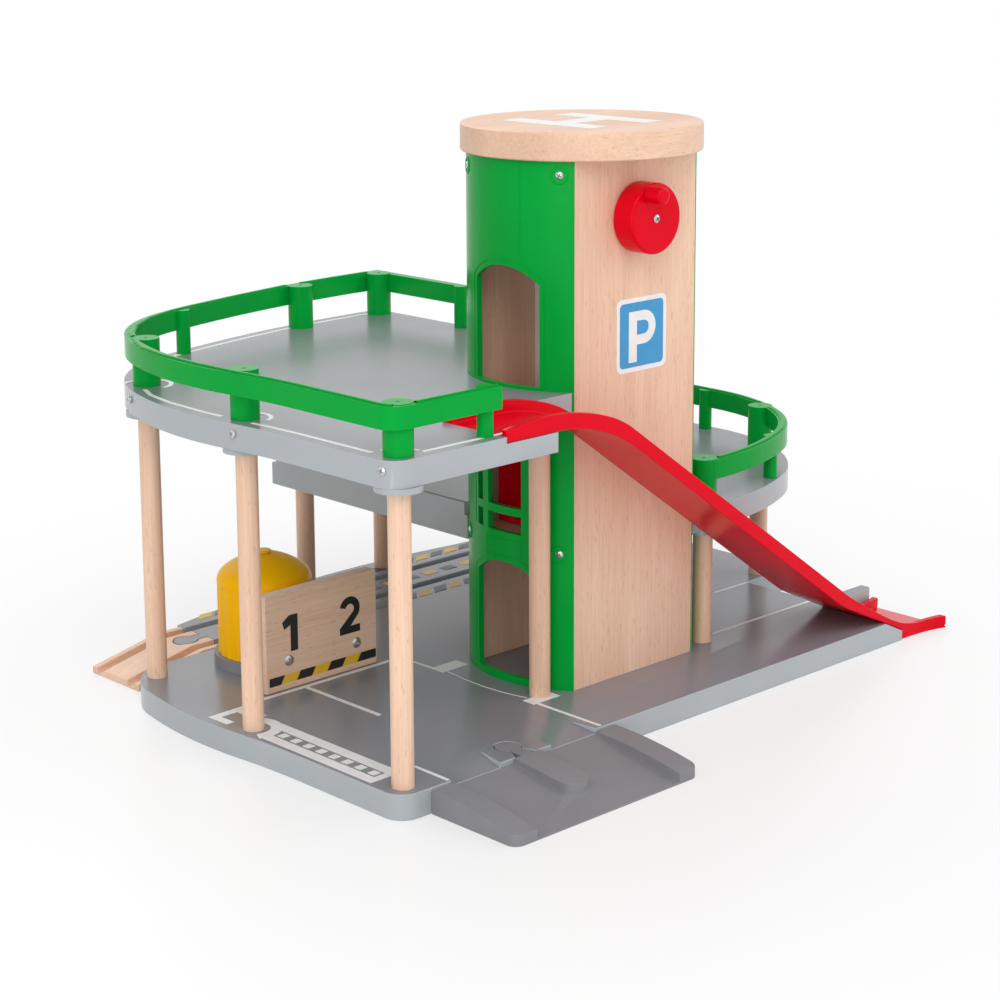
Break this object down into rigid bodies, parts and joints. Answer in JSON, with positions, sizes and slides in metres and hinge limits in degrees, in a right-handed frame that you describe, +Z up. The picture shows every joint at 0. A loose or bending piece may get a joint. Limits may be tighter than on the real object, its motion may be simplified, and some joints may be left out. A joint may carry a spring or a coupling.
{
  "type": "toy parking garage with lift",
  "caption": "Wooden toy parking garage with decks on dowels, a lift tower worked by a hand crank, fences, a tank, a parking wall and lift-off ramps.",
  "frame": {"origin": "on the floor under the middle of the lift tower", "axes": "+X along the long side to the right, the way the exit ramp runs down; +Y to the back, where the railway track is; +Z up"},
  "size_m": [0.3889, 0.3227, 0.2777],
  "materials": {
    "grey_board": "painted board",
    "grey_plastic": "moulded",
    "beech": "lacquered beech",
    "green_plastic": "moulded",
    "red_plastic": "moulded",
    "yellow_plastic": "moulded",
    "steel": "turned",
    "white_plastic": "moulded",
    "belt": "flat loop"
  },
  "bodies": {
    "garage": {"base_board": "grey_board", "top_deck": "grey_board", "mid_deck": "grey_board", "lane_wedge": "grey_plastic", "tank_ring": "grey_plastic", "column_1": "beech", "column_2": "beech", "column_3": "beech", "column_4": "beech", "column_5": "beech", "column_6": "beech", "column_7": "beech", "column_8": "beech", "tower_front_panel": "beech", "tower_back_panel": "beech", "parking_wall": "beech", "left_landing": "beech", "right_landing": "beech", "tower_head_board": "beech", "roof_disc": "beech", "tower_left_shell": "green_plastic", "tower_right_shell": "green_plastic", "top_fence": "green_plastic", "mid_fence": "green_plastic", "tank_body": "yellow_plastic", "tank_cap": "yellow_plastic", "idler_pin": "steel", "lift_guide": "white_plastic", "hoist_loop": "belt"},
    "crank": {"crank_knob": "red_plastic", "crank_handle": "red_plastic", "crank_shaft": "steel", "drive_pulley": "white_plastic"},
    "idler": {"idler_pulley": "white_plastic"},
    "lift": {"lift_cabin": "red_plastic", "cabin_clip": "red_plastic"},
    "exit_ramp": {"exit_ramp": "red_plastic"},
    "drive_in_ramp": {"drive_in_ramp": "grey_plastic"},
    "track_ramp": {"track_ramp": "beech"}
  },
  "joints": [
    {"name": "crank_spin", "type": "hinge", "parent": "garage", "child": "crank", "pos_m": [0, -0.0358, 0.2352], "axis": [0, 1, 0], "range_deg": [-415, 415]},
    {"name": "lift_slide", "type": "slide", "parent": "garage", "child": "lift", "axis": [0, 0, 1], "range_m": [-0.0725, 0.0725]},
    {"name": "idler_spin", "type": "hinge", "parent": "garage", "child": "idler", "pos_m": [0, -0.0255, 0.028], "axis": [0, 1, 0], "range_deg": [-416, 416]},
    {"name": "exit_ramp_lift", "type": "slide", "parent": "garage", "child": "exit_ramp", "axis": [0, 0, 1], "range_m": [0, 0.03]},
    {"name": "drive_in_ramp_lift", "type": "slide", "parent": "garage", "child": "drive_in_ramp", "axis": [0, 0, 1], "range_m": [0, 0.02]},
    {"name": "track_ramp_lift", "type": "slide", "parent": "garage", "child": "track_ramp", "axis": [0, 0, 1], "range_m": [0, 0.02]}
  ],
  "couplings": [
    {"joint": "lift_slide", "follows": "crank_spin", "m_per_rad": 0.01},
    {"joint": "idler_spin", "follows": "crank_spin", "ratio": 1}
  ]
}
